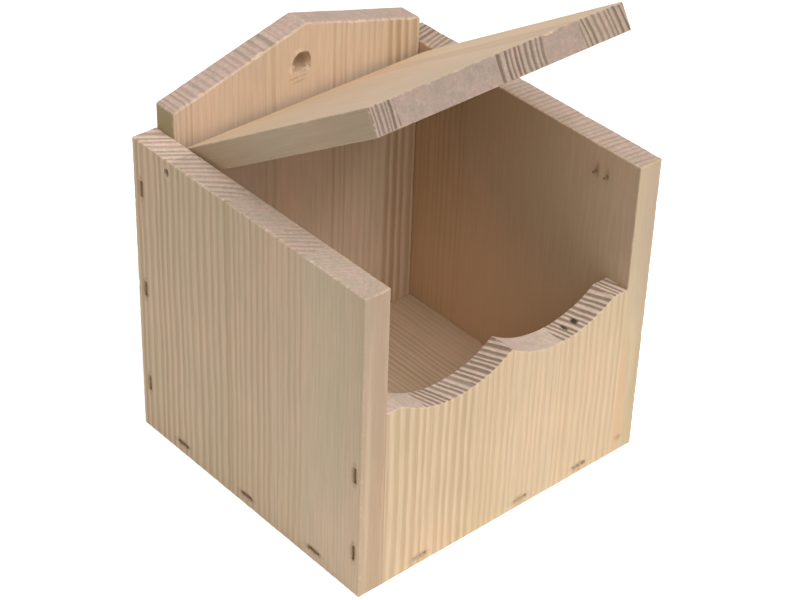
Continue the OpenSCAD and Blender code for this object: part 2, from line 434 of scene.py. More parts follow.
# A colour ramp holds numbers from 0 to 1, so a stave's numbers are divided by the most that they can be
FARTHEST_PITH = 300.0
WIDEST_RING = 12.0
STRONGEST_RING = 3.0
BRIGHTEST_TINT = 1.25


def grain_group(name):
    """Growth rings round a pith, fibres along the grain and slow changes of tone."""
    nodes, given = new_group(
        name,
        {
            "Point": "Vector",
            "Pith Across": 0.0,
            "Pith Depth": 0.0,
            "Ring Width": 4.0,
            "Late Share": 0.45,
            "Wander": 1.5,
            "Seed": 0.0,
        },
        dict.fromkeys(GRAIN_MASKS, "Float"),
    )
    point, seed = given["Point"], given["Seed"]
    shifted = point + nodes.point(0.0, 0.0, seed * 431.0)
    slow = nodes.noise(shifted * (0.02, 0.02, 0.011), 1.0, 2.0, 0.45, out="Color") - 0.5
    quick = nodes.noise(shifted * (0.12, 0.12, 0.05), 1.0, 1.0, out="Color") - 0.5
    wander = given["Wander"]
    place = nodes.parts(point + slow * (wander * 2.0) + quick * (wander * 0.5))
    across = place[0] - given["Pith Across"]
    depth = place[1] - given["Pith Depth"]
    rings = nodes.math("SQRT", across * across + depth * depth) / given["Ring Width"]
    rings = rings + nodes.noise(rings * 0.37 + seed, 1.0, 1.0, dimensions="1D") * 0.9
    part = nodes.math("FRACT", rings)
    start = 0.93 - given["Late Share"]
    late = nodes.ramp(part, start - 0.22, start + 0.16) * nodes.ramp(part, 0.86, 1.0, 1.0, 0.0)
    ring = nodes.math("FLOOR", rings) + seed * 17.0
    tone = nodes.value("ShaderNodeTexWhiteNoise", {"W": ring}, "Value", noise_dimensions="1D")
    noises = {title: nodes.noise(shifted * scale, 1.0, *rest) for title, (scale, *rest) in NOISES.items()}
    return nodes.hand_over({"Late Wood": late, "Ring Tone": tone, **noises})


def timber_group(name):
    """Colour, gloss and relief of planed faces, sawn ends and worn arrises, with painted highlights and
    painted shade along the arrises.
    """
    nodes, given = new_group(
        name,
        {
            "Late Wood": 0.0,
            **dict.fromkeys(("Ring Tone", *NOISES), 0.5),
            **dict.fromkeys(("Face Contrast", "End Contrast"), 1.0),
            **dict.fromkeys(("End Grain", "Wear And Highlight", "Stain"), 0.0),
            **dict.fromkeys(("Tint", "Early Wood", "Late Wood Colour", "End Early", "End Late"), WHITE),
            **dict.fromkeys(("Worn", "Stained"), WHITE),
        },
        {"Color": "Color", "Roughness": "Float", "Height": "Float"},
    )
    late_wood, late_colour = given["Late Wood"], given["Late Wood Colour"]
    fibres, mottle, patches, bruises, pores = (given[title] for title in NOISES)
    end_grain = given["End Grain"]

    def even_ramp(value, low, high):
        return nodes.ramp(value, 0.3, 0.7, low, high, smooth=False)

    late = late_wood * nodes.ramp(given["Ring Tone"], 0.0, 1.0, 0.7, 1.15, smooth=False)
    face_late = late * given["Face Contrast"] * 0.55
    face = nodes.mix(face_late, given["Early Wood"], late_colour, clamp_factor=False)
    end = nodes.mix(late * given["End Contrast"] * 0.6, given["End Early"], given["End Late"])
    wood = nodes.mix(nodes.ramp(end_grain, 0.25, 0.75), face, end) * given["Tint"]

    # Light and dark: streaks of fibre, a slow drift, blotches and pores, the last two mostly on the ends
    on_end = nodes.ramp(end_grain, 0.3, 0.7)
    blotch = (patches * 0.22 + bruises * 0.42 - 0.32) * on_end + 1.0
    speck = (pores - 0.5) * (on_end * 0.3 + 0.15) + 1.0
    wood = wood * (even_ramp(fibres, 0.915, 1.085) * even_ramp(mottle, 0.97, 1.03) * blotch * speck)

    # Hue: rosy zones and olive zones
    hue = mottle + on_end * (patches - mottle)
    much = on_end * 0.2 + 0.4
    for low, high, tint in ((0.48, 0.68, ROSY), (0.52, 0.32, OLIVE)):
        wood = nodes.mix(nodes.ramp(hue, low, high) * much, wood, wood * tint)

    # Along the arrises the worn colour on the lumps is partly real wear and partly painted highlight, and
    # the late wood colour between them is painted shade. The stains round the fasteners are the wood's own.
    for mask, noise_ramp, paint in (
        ("Wear And Highlight", (bruises, 0.42, 0.6, 0.1, 1.0), given["Worn"]),
        ("Wear And Highlight", (bruises, 0.45, 0.3, 0.0, 0.35), late_colour),
        ("Stain", (pores, 0.3, 0.7, 0.55, 1.0), given["Stained"]),
    ):
        wood = nodes.mix(given[mask] * nodes.ramp(*noise_ramp), wood, paint)
    pits = pores * nodes.ramp(end_grain, 0.3, 0.8, 0.25, 0.8)
    return nodes.hand_over({
        "Color": wood,
        "Roughness": nodes.ramp(fibres, 0.3, 0.7, 0.60, 0.72) + end_grain * 0.15,
        "Height": late_wood * 0.5 + fibres * 0.6 + pits,
    })


def spot_group(name):
    """A soft ragged spot round one place, for stains, resin, and painted light and shade."""
    nodes, given = new_group(
        name,
        {"Point": "Vector", "Centre": (0.0, 0.0, 0.0), "Size": EVEN, "Ragged": 0.4, "Softness": 0.4},
        {"Mask": "Float"},
    )
    away = nodes.length((given["Point"] - given["Centre"]) / given["Size"])
    away = away + (nodes.noise(given["Point"], 0.9) - 0.5) * (given["Ragged"] * 2.0)
    soft = given["Softness"]
    return nodes.hand_over({"Mask": nodes.ramp(away, soft + 1.0, 1.0 - soft)})


def by_stave(nodes, share, starts, values):
    """A colour that is one constant on each stave. The staves start at shares of the board's width."""
    ramp = nodes.add("ShaderNodeValToRGB", {0: share})
    ramp.color_ramp.interpolation = "CONSTANT"
    steps = ramp.color_ramp.elements
    for index, (start, value) in enumerate(zip(starts, values)):
        step = steps[index] if index < 2 else steps.new(start)
        step.position = start
        step.color = (*value, 1.0)
    return Value(nodes, ramp.outputs[0])


def stave_values(nodes, name, place):
    """The values of the stave that a place across a board is in, in the order of a stave's row."""
    board = BOARDS[name]
    low, high = (corner[board["axes"][0]] * 1000 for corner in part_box(name))
    low, high = low - 0.01, high + 0.01
    share = nodes.ramp(place, low, high, smooth=False)
    starts = [0.0] + [(stave[0] - low) / (high - low) for stave in board["staves"][:-1]]
    piths, manners, tints, end_tones = [], [], [], []
    for _, across, depth, width, on_face, on_sawn, late_share, tint, *end_tone in board["staves"]:
        in_range = [(value + FARTHEST_PITH) / (2 * FARTHEST_PITH) for value in (across, depth)]
        piths.append((*in_range, width / WIDEST_RING))
        manners.append((on_face / STRONGEST_RING, on_sawn / STRONGEST_RING, late_share))
        tints.append([value / BRIGHTEST_TINT for value in tint])
        end_tones.append([(*end_tone, 1.0)[0] / BRIGHTEST_TINT] * 3)
    across, depth, width = nodes.parts(by_stave(nodes, share, starts, piths))
    on_face, on_sawn, late_share = nodes.parts(by_stave(nodes, share, starts, manners))
    return (
        across * (2 * FARTHEST_PITH) - FARTHEST_PITH,
        depth * (2 * FARTHEST_PITH) - FARTHEST_PITH,
        width * WIDEST_RING,
        on_face * STRONGEST_RING,
        on_sawn * STRONGEST_RING,
        late_share,
        by_stave(nodes, share, starts, tints) * BRIGHTEST_TINT,
        by_stave(nodes, share, starts, end_tones) * BRIGHTEST_TINT,
    )


def board_material(name, board, wood, spots):
    """Spruce for one board, with its own staves."""
    material, nodes = new_material(name + "_spruce")
    place = nodes.place()
    if name == "lid":
        turned = {"Vector": place, "Location": lay_level.translation, "Rotation": lay_level.to_euler()}
        place = nodes.value("ShaderNodeMapping", turned)
    place = place * 1000.0
    parts = nodes.parts(place)
    axes = [parts[i] for i in board["axes"]]
    across, depth, width, on_face, on_sawn, late_share, tint, end_tone = stave_values(nodes, name, axes[0])
    on_end, on_side = nodes.attribute("end_grain"), nodes.attribute("side_grain")
    face, side, end = board["tints"]
    overall = nodes.mix(nodes.ramp(on_side, 0.6, 0.9), face, side)
    overall = nodes.mix(nodes.ramp(on_end, 0.25, 0.6), overall, end_tone * end)
    grain = nodes.group("spruce_grain", grain_group, {
        "Point": nodes.point(*axes),
        "Pith Across": across,
        "Pith Depth": depth,
        "Ring Width": width * nodes.ramp(on_end, 0.4, 0.6, 1.0, board.get("end_scale", 1.0)),
        "Late Share": late_share,
        "Wander": wood.ring_wander,
        "Seed": sorted(BOARDS).index(name) * 1.37,
    })
    side_contrast = nodes.ramp(on_side, 0.6, 0.9, 0.0, 0.75)
    timber = nodes.group("bare_timber", timber_group, {
        **{title: grain.outputs[title] for title in GRAIN_MASKS},
        "Face Contrast": nodes.math("MAXIMUM", on_face, side_contrast),
        "End Contrast": on_sawn,
        "End Grain": on_end,
        "Wear And Highlight": nodes.attribute("wear_and_highlight"),
        "Stain": nodes.attribute("stain"),
        "Tint": tint * overall,
        "Early Wood": wood.early_wood,
        "Late Wood Colour": wood.late_wood,
        "End Early": wood.end_early,
        "End Late": wood.end_late,
        "Worn": wood.worn_wood,
        "Stained": wood.stained_wood,
    })
    final = timber.outputs["Color"]
    # Soft spots on top: stains round the fasteners, resin, and the marks, some of which are painted light
    # and shade
    for centre, size, ragged, softness, strength, paint in spots:
        inputs = {"Point": place, "Centre": centre, "Size": size, "Ragged": ragged, "Softness": softness}
        spot = Value(nodes, nodes.group("ragged_spot", spot_group, inputs).outputs[0])
        final = nodes.mix(spot * strength, final, paint)
    inputs = {"Base Color": final, "Roughness": timber.outputs["Roughness"], "Specular IOR Level": 0.3}
    nodes.surface(inputs, timber.outputs["Height"], 0.5, 0.0002 * wood.relief)
    return material


# ---------------- boards

FLAT = 3e-6  # How far points of one plane may stray from it
WELD = 2e-6  # Points nearer than this are one point
NEAR = 1e-4  # Places nearer than this meet
SHARP = math.radians(20)  # The least angle of an arris
HANGING_BORE = 0.013  # Only the hanging hole is wider than this
NAIL_BORE = 0.0035  # Bores up to this width keep a clean rim
SHAPED_FROM = 0.1  # The front and back boards' upper edges are shaped above this height
# Chips: noise per metre for the small and the large ones, the calm and the fade near a corner, how near
# a sawn end the teeth of the saw show, and how much of a chip the middle of an arris takes
SMALL_CHIPS, LARGE_CHIPS = 380, 95
CORNER_CALM, CORNER_FADE = 0.001, 0.003
SAWN_EDGE = 0.0012
MIDDLE_SHARE = 0.42
# Broken mouths: how deep the rim sinks, and the stains on the rim and on the lip
HANGING_MOUTH = (0.0016, 0.2, 0.05)
STAPLE_MOUTH = (0.0006, 1.0, 0.3)
FRONT_MOUTH = (0.0006, 0.3, 0.3)
LARGE_MOUTH = 0.004  # A mouth that reaches farther than this from its middle has more points
BORE_SHARE = 0.55  # The part of a bore's span that counts as inside it
CROWN_SPOT, SPOT_MARGIN = 0.0105, 1.7  # A brown spot's longest crown, and its margin in millimetres


def new_object(name, data):
    thing = bpy.data.objects.new(name, data)
    bpy.context.scene.collection.objects.link(thing)
    return thing


def new_mesh(name, form):
    """A mesh from a form that is done with."""
    mesh = bpy.data.meshes.new(name)
    form.to_mesh(mesh)
    form.free()
    return mesh


def finish_piece(name, mesh, body, slot, *nodes):
    """A new piece in place, which rides on a body and may stand for CAD nodes."""
    piece = new_object(name, mesh)
    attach(piece, body)
    if nodes:
        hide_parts(*nodes)
    return piece


def sides_of(loop):
    """The pairs of neighbours round a closed loop."""
    return zip(loop, loop[1:] + loop[:1])


def middle_of(verts):
    return sum((v.co for v in verts), Vector()) / len(verts)


def flat_areas(form):
    """The flat areas: each one's faces, normal, and rim as closed loops with the outline first."""
    waiting = dict.fromkeys(sorted(form.faces, key=lambda f: -f.calc_area()))
    while waiting:
        area = [next(iter(waiting))]
        del waiting[area[0]]
        normal, point = area[0].normal.copy(), area[0].verts[0].co.copy()
        for face in area:
            for edge in face.edges:
                for other in edge.link_faces:
                    if other in waiting and all(abs((v.co - point).dot(normal)) < FLAT for v in other.verts):
                        del waiting[other]
                        area.append(other)
        whole = set(area)
        rim = {}
        for face in area:
            for loop in face.loops:
                if sum(f in whole for f in loop.edge.link_faces) == 1:
                    rim[loop.vert] = loop.link_loop_next.vert
        loops = []
        while rim:
            first = next(iter(rim))
            loop = [first]
            following = rim.pop(first)
            while following is not first:
                loop.append(following)
                following = rim.pop(following)
            loops.append(loop)
        loops.sort(key=lambda loop: -max((v.co - loop[0].co).length for v in loop))
        yield area, normal, loops


def fill(form, normal, loops):
    """Triangles inside an outline and outside its holes."""
    across = normal.orthogonal().normalized()
    up = normal.cross(across)
    verts = [v for loop in loops for v in loop]
    flat = [Vector((v.co.dot(across), v.co.dot(up))) * 1000 for v in verts]
    index = {v: i for i, v in enumerate(verts)}
    pairs = [(index[a], index[b]) for loop in loops for a, b in sides_of(loop)]
    result = delaunay_2d_cdt(flat, pairs, [], 1, 1e-6)
    if len(result[0]) != len(flat):
        raise RuntimeError("a board's chips run into each other")
    outward = set(pairs)
    triangles = [tuple(result[3][i][0] for i in face) for face in result[2]]
    sides = {}
    for triangle in triangles:
        for pair in sides_of(triangle):
            sides[pair] = triangle
    # A triangle on the left of a rim edge is inside, and so is all that is joined to it
    reached = dict.fromkeys(sides[pair] for pair in pairs if pair in sides)
    waiting = list(reached)
    for triangle in waiting:
        for pair in sides_of(triangle):
            other = sides.get((pair[1], pair[0]))
            if pair not in outward and other and other not in reached:
                reached[other] = None
                waiting.append(other)
    return [form.faces.new([verts[i] for i in triangle]) for triangle in reached]


def split_edge(edge, count):
    """Cut an edge into equal parts without touching the faces' other edges."""
    start = edge.verts[0]
    for left in range(count, 1, -1):
        edge, vert = bmesh.utils.edge_split(edge, start, 1 / left)
        edge = next(e for e in vert.link_edges if e.other_vert(vert) is not start)
        start = vert


def clockwise(loop, normal):
    """Whether a closed loop runs clockwise as seen from the normal's side."""
    turned = Vector()
    for a, b in sides_of(loop):
        turned += (a.co - loop[0].co).cross(b.co - loop[0].co)
    return turned.dot(normal) < 0


def against(loop, other, normal):
    """A closed loop, turned round if it runs the same way as another."""
    return loop[::-1] if clockwise(loop, normal) == clockwise(other, normal) else loop


def joint_lines():
    """How far out, from what depth and up to what height the front and back boards meet the side walls."""
    front, back, wall = (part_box(name) for name in ("front_board", "back_board", "left_wall"))
    return (
        (front[1].x, (front[0].y + front[1].y) / 2, front[1].z),
        (back[1].x, (back[0].y + back[1].y) / 2, wall[1].z),
    )


def in_joint(place, lines):
    """Whether a place lies where a board's edge is flush with a side wall's."""
    x, y, top = lines[0] if place.y < 0 else lines[1]
    return abs(abs(place.x) - x) < NEAR and abs(place.y) > abs(y) and place.z < top - NEAR


def staple_reach(x, y):
    """Most wood is crushed along the crown's two long sides, little past its ends."""
    return 0.0003 + 0.0007 * abs(y)


def plain_reach(x, y):
    return 0.0004


def hanging_reach(x, y):
    """The drill tore the wood out at the lower left of the hanging hole."""
    low_left = max(0.0, -0.3 * x - 0.95 * y)
    return 0.0004 + 0.0030 * low_left**1.5


def broken_mouth(form, normal, rim, reach, sink, along, seed):
    """Breaks out the wood round a hole. The rim sinks below a ragged lip, longer along the grain."""
    centre = middle_of(rim)
    tall = along if abs(normal.dot(along)) < 0.5 else normal.orthogonal().normalized()
    wide = tall.cross(normal)
    half = [max(abs((v.co - centre).dot(axis)) for v in rim) for axis in (wide, tall)]
    round_hole = len(rim) > 8
    count = 40 if max(half) > LARGE_MOUTH else 24
    lip = []
    for number in range(count):
        turn = math.tau * number / count
        x, y = math.cos(turn), math.sin(turn)
        coarse = noise.noise(Vector((x * 1.9, y * 1.9, seed * 3.7)))
        fine = noise.noise(Vector((x * 6, y * 6, seed + 9.1)))
        out = reach(x, y) if round_hole or half[0] > half[1] else reach(y, x)
        out *= max(0.25, 1.0 + 1.4 * (coarse + 0.6 * fine))
        if round_hole:
            place = (half[0] + out) * x, (half[0] + out) * y
        else:
            corner = [max(-1.0, min(1.0, 1.7 * c)) for c in (x, y)]
            place = half[0] * corner[0] + out * x, half[1] * corner[1] + out * y
        lip.append(form.verts.new(centre + wide * place[0] + tall * place[1]))
    for vert in rim:
        vert.co -= normal * sink
    return lip


class BoardShape:
    """A CAD board on its way to one with worn arrises. The lid is worked on while it lies level."""

    def __init__(self, name, arris):
        self.name = name
        self.arris = arris
        self.across, self.thick, self.grain = BOARDS[name]["axes"]
        self.easing = BOARDS[name].get("easing", 1.0)
        self.level = lay_level if name == "lid" else Matrix.Identity(4)
        self.form = bmesh.new()
        self.form.from_mesh(frame["nodes"][name].data)
        self.form.transform(self.level)
        bmesh.ops.remove_doubles(self.form, verts=self.form.verts, dist=WELD)
        corners = [v.co for v in self.form.verts]
        self.low = Vector([min(c[i] for c in corners) for i in range(3)])
        self.high = Vector([max(c[i] for c in corners) for i in range(3)])
        self.number = self.form.faces.layers.int.new("number")
        self.end_grain = self.form.faces.layers.float.new("end_grain")
        self.side_grain = self.form.faces.layers.float.new("side_grain")
        self.wear_and_highlight = self.form.loops.layers.float.new("wear_and_highlight")
        self.stain = self.form.loops.layers.float.new("stain")
        self.holes = {}

    def is_outer(self, normal, outline):
        """Whether a flat area is in a side of the board's box, or on its shaped top."""
        for i, (low, high) in enumerate(zip(self.low, self.high)):
            place = [v.co[i] for v in outline]
            if max(place) - min(place) < FLAT and min(place[0] - low, high - place[0]) < FLAT:
                return True
        reach = [v.co[self.thick] for v in outline]
        whole = max(reach) - min(reach) > self.high[self.thick] - self.low[self.thick] - FLAT
        above = min(v.co.z for v in outline) > SHAPED_FROM
        shaped = self.name in ("front_board", "back_board")
        return shaped and whole and above and abs(normal[self.thick]) < 1e-3

    def lay_plain_faces(self):
        """Makes each outer area one face, so that its arrises can be cut, and sets its holes aside."""
        for area, normal, loops in list(flat_areas(self.form)):
            if not self.is_outer(normal, loops[0]):
                continue
            edges = dict.fromkeys(e for f in area for e in f.edges)
            inner = [e for e in edges if all(f in area for f in e.link_faces)]
            bmesh.ops.delete(self.form, geom=area, context="FACES_ONLY")
            bmesh.ops.delete(self.form, geom=inner, context="EDGES")
            face = self.form.faces.new(loops[0])
            face.normal_update()
            face[self.number] = len(self.holes) + 1
            self.holes[len(self.holes) + 1] = loops[1:]

    def ridges(self):
        """The sharp edges between outer faces."""
        shared = [e for e in self.form.edges if len(e.link_faces) == 2]
        outer = [e for e in shared if all(f[self.number] for f in e.link_faces)]
        return [e for e in outer if e.calc_face_angle(0) > SHARP]

    def ease_arrises(self):
        """Cuts the arrises into short steps and rounds them. Gives the rounded faces and the corners."""
        ridges = self.ridges()
        ends = dict.fromkeys(v for e in ridges for v in e.verts)
        corners = [v.co.copy() for v in ends if sum(e in ridges for e in v.link_edges) > 2]
        for edge in ridges:
            split_edge(edge, max(1, round(edge.calc_length() / (self.arris.step * self.easing))))
        self.form.normal_update()
        lines = joint_lines()
        ridges = self.ridges()
        if self.name != "lid":
            ridges = [e for e in ridges if not all(in_joint(v.co, lines) for v in e.verts)]
        made = bmesh.ops.bevel(
            self.form,
            geom=ridges,
            offset=self.arris.rounding * self.easing,
            offset_type="OFFSET",
            segments=2,
            profile=0.5,
            affect="EDGES",
            clamp_overlap=False,
        )
        self.form.normal_update()
        return made["faces"], corners

    def saw_teeth(self, place, shift):
        """How deep the teeth of the saw cut an arris, near a sawn end."""
        along, low, high = place[self.grain], self.low[self.grain], self.high[self.grain]
        if self.name == "lid" or min(along - low, high - along) >= SAWN_EDGE:
            return 0.0
        return 0.45 * max(0.0, math.sin(place[self.across] * math.tau / self.arris.teeth + 3 * shift))

    def chip_arrises(self, rounded, corners):
        """Takes chips out of the arrises, fewer near the corners. Gives how deep each point's chip is."""
        strip = set(rounded)
        chips = {}
        moves = []
        for vert in dict.fromkeys(v for f in rounded for v in f.verts):
            away = min(((vert.co - corner).length for corner in corners), default=1.0)
            ease = min(1.0, max(0.0, away - CORNER_CALM) / CORNER_FADE)
            small = noise.noise(vert.co * SMALL_CHIPS + Vector((self.arris.seed, 0, 0)))
            large = noise.noise(vert.co * LARGE_CHIPS + Vector((0, self.arris.seed, 7)))
            depth = max(0.0, large - 0.25) * 1.6 + max(0.0, small) * 0.5 + self.saw_teeth(vert.co, small)
            chips[vert] = min(1.0, ease * depth)
            plain = [f for f in vert.link_faces if f not in strip]
            if not plain:
                moves.append((vert, -vert.normal * self.arris.chip * chips[vert] * MIDDLE_SHARE))
                continue
            mids = [e.other_vert(vert) for e in vert.link_edges if all(f in strip for f in e.link_faces)]
            if len(plain) == 1 and mids:
                normal = plain[0].normal
                towards = mids[0].co - vert.co
                towards -= normal * towards.dot(normal)
                if towards.length > 1e-7:
                    moves.append((vert, -towards.normalized() * self.arris.chip * chips[vert]))
        for vert, step in moves:
            vert.co += step
        return chips

    def break_mouths(self, strip):
        """Brings the holes back with the wood round most of them broken. Gives stains, bores and breaks."""
        along = Vector([float(i == self.grain) for i in range(3)])
        stains, bores, broken = {}, [], set()
        for face in [f for f in self.form.faces if f[self.number] and f not in strip]:
            normal = face.normal.copy()
            outline = list(face.verts)
            rims = [outline]
            hidden = normal.z < -0.9 or normal.y > 0.9 and self.name == "front_board"
            for rim in self.holes[face[self.number]]:
                span = max((v.co - rim[0].co).length for v in rim)
                if hidden or span < NAIL_BORE:
                    rims.append(rim)
                    continue
                if span > HANGING_BORE:
                    bores.append((middle_of(rim), BORE_SHARE * span))
                    reach = hanging_reach if normal.y < 0 else plain_reach
                    sink, rim_stain, lip_stain = HANGING_MOUTH
                else:
                    reach = staple_reach
                    sink, rim_stain, lip_stain = FRONT_MOUTH if self.name == "front_board" else STAPLE_MOUTH
                seed = len(stains) * 1.3 + len(self.name)
                lip = broken_mouth(self.form, normal, rim, reach, sink, along, seed)
                stains.update(dict.fromkeys(rim, rim_stain))
                stains.update(dict.fromkeys(lip, lip_stain))
                broken.update(fill(self.form, normal, [lip, against(rim, lip, normal)]))
                rims.append(against(lip, outline, normal))
            bmesh.ops.delete(self.form, geom=[face], context="FACES_ONLY")
            fill(self.form, normal, rims)
        self.form.normal_update()
        return stains, bores, broken

    def store_masks(self, strip, chips, stains, bores, broken):
        """Stores where the end grain, the side grain, the wear with its painted highlights, and the stains
        are.
        """
        for face in self.form.faces:
            face.smooth = face in strip
            middle = face.calc_center_median()
            in_bore = abs(face.normal[self.thick]) < 0.5 and any(
                Vector([c for i, c in enumerate(middle - centre) if i != self.thick]).length < reach
                for centre, reach in bores
            )
            face[self.end_grain] = 0.0 if in_bore else abs(face.normal[self.grain])
            face[self.side_grain] = 0.0 if in_bore else abs(face.normal[self.across])
            for loop in face.loops:
                if face in strip:
                    loop[self.wear_and_highlight] = 0.4 + 0.6 * chips.get(loop.vert, 0.0)
                else:
                    loop[self.wear_and_highlight] = 0.5 if in_bore else 0.0
                loop[self.stain] = stains[loop.vert] if face in broken else 0.0


def board_mesh(name, arris):
    """A CAD board with eased and chipped arrises. It stores where its end grain, its wear with painted
    highlights, and its stains are.
    """
    board = BoardShape(name, arris)
    board.lay_plain_faces()
    rounded, corners = board.ease_arrises()
    chips = board.chip_arrises(rounded, corners)
    strip = set(rounded)
    board.store_masks(strip, chips, *board.break_mouths(strip))
    board.form.transform(board.level.inverted())
    mesh = new_mesh(name + "_board", board.form)
    if "custom_normal" in mesh.attributes:
        mesh.attributes.remove(mesh.attributes["custom_normal"])
    return mesh


def fastener_spots(name, wood):
    """A soft brown spot on the board round each staple and nail that is driven into its face."""
    low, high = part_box(name)
    spots = []
    for node in frame["nodes"]:
        if "staple" not in node and "nail" not in node or node == "stop_staple":
            continue
        middle = staple_place(node)[0]
        if all(a - NEAR < c < b + NEAR for a, c, b in zip(low, middle, high)):
            near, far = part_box(node)
            size = tuple(min(CROWN_SPOT, side) * 500 + SPOT_MARGIN for side in far - near)
            strength = 0.35 if name == "front_board" else 0.7
            paint = wood.worn_wood if "nail" in node else wood.bruised_wood
            spots.append((tuple(middle * 1000), size, 0.6, 0.7, strength, paint))
    return tuple(spots)


def make_boards(scene, *names):
    """Boards in place of their CAD nodes, with their staves, marks and broken mouths."""
    for name in names:
        board = BOARDS[name]
        spots = fastener_spots(name, scene.nestbox_wood) + MARKS.get(name, ())
        mesh = board_mesh(name, scene.nestbox_arris)
        mesh.materials.append(board_material(name, board, scene.nestbox_wood, spots))
        finish_piece(name + "_board", mesh, "lid" if name == "lid" else "box", board["slot"], name)
    return {"FINISHED"}


class NESTBOX_OT_side_walls(bpy.types.Operator):
    """Finish the two side walls"""

    bl_idname = "nestbox.side_walls"
    bl_label = "Side walls"

    def execute(self, context):
        return make_boards(context.scene, "left_wall", "right_wall")


class NESTBOX_OT_front_board(bpy.types.Operator):
    """Finish the scalloped front board"""

    bl_idname = "nestbox.front_board"
    bl_label = "Front board"

    def execute(self, context):
        return make_boards(context.scene, "front_board")


class NESTBOX_OT_back_board(bpy.types.Operator):
    """Finish the gabled back board with its hanging hole"""

    bl_idname = "nestbox.back_board"
    bl_label = "Back board"

    def execute(self, context):
        return make_boards(context.scene, "back_board")


class NESTBOX_OT_floor_board(bpy.types.Operator):
    """Finish the floor between the walls"""

    bl_idname = "nestbox.floor_board"
    bl_label = "Floor board"

    def execute(self, context):
        return make_boards(context.scene, "floor_board")


class NESTBOX_OT_lid(bpy.types.Operator):
    """Finish the lid of glued staves"""

    bl_idname = "nestbox.lid"
    bl_label = "Lid"

    def execute(self, context):
        return make_boards(context.scene, "lid")


# ---------------- shapes on points


def evaluated_mesh(context, title, rows, layers, tree, values):
    """The plain mesh that a tree makes on points. A row is a place and a vector for each layer."""
    mesh = bpy.data.meshes.new(title)
    mesh.from_pydata([row[0] for row in rows], [], [])
    for column, name in enumerate(layers, 1):
        layer = mesh.attributes.new(name, "FLOAT_VECTOR", "POINT")
        for point, row in zip(layer.data, rows):
            point.vector = row[column]
    carrier = new_object(title + "_points", mesh)
    modifier = carrier.modifiers.new(title, "NODES")
    modifier.node_group = tree
    sockets = {s.name: s.identifier for s in tree.interface.items_tree if s.in_out == "INPUT"}
    for socket, value in values.items():
        modifier[sockets[socket]] = value
    context.view_layer.update()
    graph = context.evaluated_depsgraph_get()
    made = bpy.data.meshes.new_from_object(carrier.evaluated_get(graph))
    bpy.data.objects.remove(carrier)
    if not made.polygons:
        raise RuntimeError(title + " came out empty")
    return made


def on_points(nodes, given, shape, material, **inputs):
    """Sets a shape on each point, with the point's turn, and gives all of them one material."""
    turn = nodes.value("GeometryNodeInputNamedAttribute", {"Name": "turn"}, data_type="FLOAT_VECTOR")
    rotation = nodes.add("FunctionNodeEulerToRotation", {0: turn})
    inputs.update(Points=given["Geometry"], Instance=shape, Rotation=rotation)
    real = nodes.add("GeometryNodeRealizeInstances", {0: nodes.add("GeometryNodeInstanceOnPoints", inputs)})
    painted = nodes.add("GeometryNodeSetMaterial", {"Geometry": real, "Material": given[material]})
    return nodes.hand_over({"Geometry": painted})


# ---------------- steel

# Nails: how far each step of the head lies under its top and its share of the head's radius
NAIL_HEAD = ((0.0001, 0.0), (0.00012, 0.5), (0.0003, 0.88), (0.0006, 0.985), (0.0011, 0.95))
SHANK, NAIL_SIDES = 0.00148, 28
FIRST_GROOVE, GROOVES, GROOVE_STEP = 0.004, 5, 0.0016
# Wire in front of this depth, in millimetres, is the front board's, and this much of it is clean
FRONT_WIRE = (-104.0, -105.0)
CLEAN_SHARE = 0.7


def steel_material(steel, name, plain):
    """Wire with patches of rust. The crowns in the front board are cleaner."""
    material, nodes = new_material(name)
    place = nodes.place() * 1000.0
    patches = nodes.noise(place, 0.8, 3.0, 0.6)

    def where_rusty(clean, rusty):
        return nodes.ramp(patches, 0.42, 0.6, clean, rusty)

    tone = nodes.mix(where_rusty(0.0, 1.0), plain, steel.rust)
    in_front = nodes.ramp(nodes.parts(place)[1], *FRONT_WIRE)
    tone = nodes.mix(in_front, tone, nodes.mix(CLEAN_SHARE, tone, steel.clean))
    inputs = {"Base Color": tone, "Metallic": where_rusty(0.45, 0.1), "Roughness": where_rusty(0.5, 0.85)}
    nodes.surface(inputs, patches, 0.4)
    return material


def staple_tree():
    """Bent wire staples on points. Each point's turn faces its crown out of the wood."""
    floats = dict.fromkeys(("Crown Width", "Leg Length", "Wire", "Shoulder"), "Float")
    inputs = {"Geometry": "Geometry", **floats, "Steel": "Material"}
    nodes, given = new_group("driven_staples", inputs, {"Geometry": "Geometry"}, "GeometryNodeTree")
    wire = given["Wire"]
    line = nodes.add("GeometryNodeMeshLine", {"Count": 4})
    index = nodes.value("GeometryNodeInputIndex")
    side = nodes.math("GREATER_THAN", index, 1.5) * 2.0 - 1.0
    low = nodes.math("GREATER_THAN", nodes.math("ABSOLUTE", index - 1.5), 1.0)
    drop = low * (wire * 0.5 - given["Leg Length"]) - wire * ((1.0 - low) * 0.5)
    spot = nodes.point(side * ((given["Crown Width"] - wire) * 0.5), 0.0, drop)
    bent = nodes.add("GeometryNodeSetPosition", {"Geometry": line, "Position": spot})
    curve = nodes.add("GeometryNodeMeshToCurve", {"Mesh": bent})
    outline = nodes.add("GeometryNodeCurvePrimitiveQuadrilateral", {"Width": wire, "Height": wire})
    curve, outline = (
        nodes.add("GeometryNodeFilletCurve", {"Curve": shape, "Radius": radius, "Count": count}, mode="POLY")
        for shape, radius, count in ((curve, given["Shoulder"], 4), (outline, wire * 0.22, 2))
    )
    inputs = {"Curve": curve, "Profile Curve": outline, "Fill Caps": True}
    return on_points(nodes, given, nodes.add("GeometryNodeCurveToMesh", inputs), "Steel")


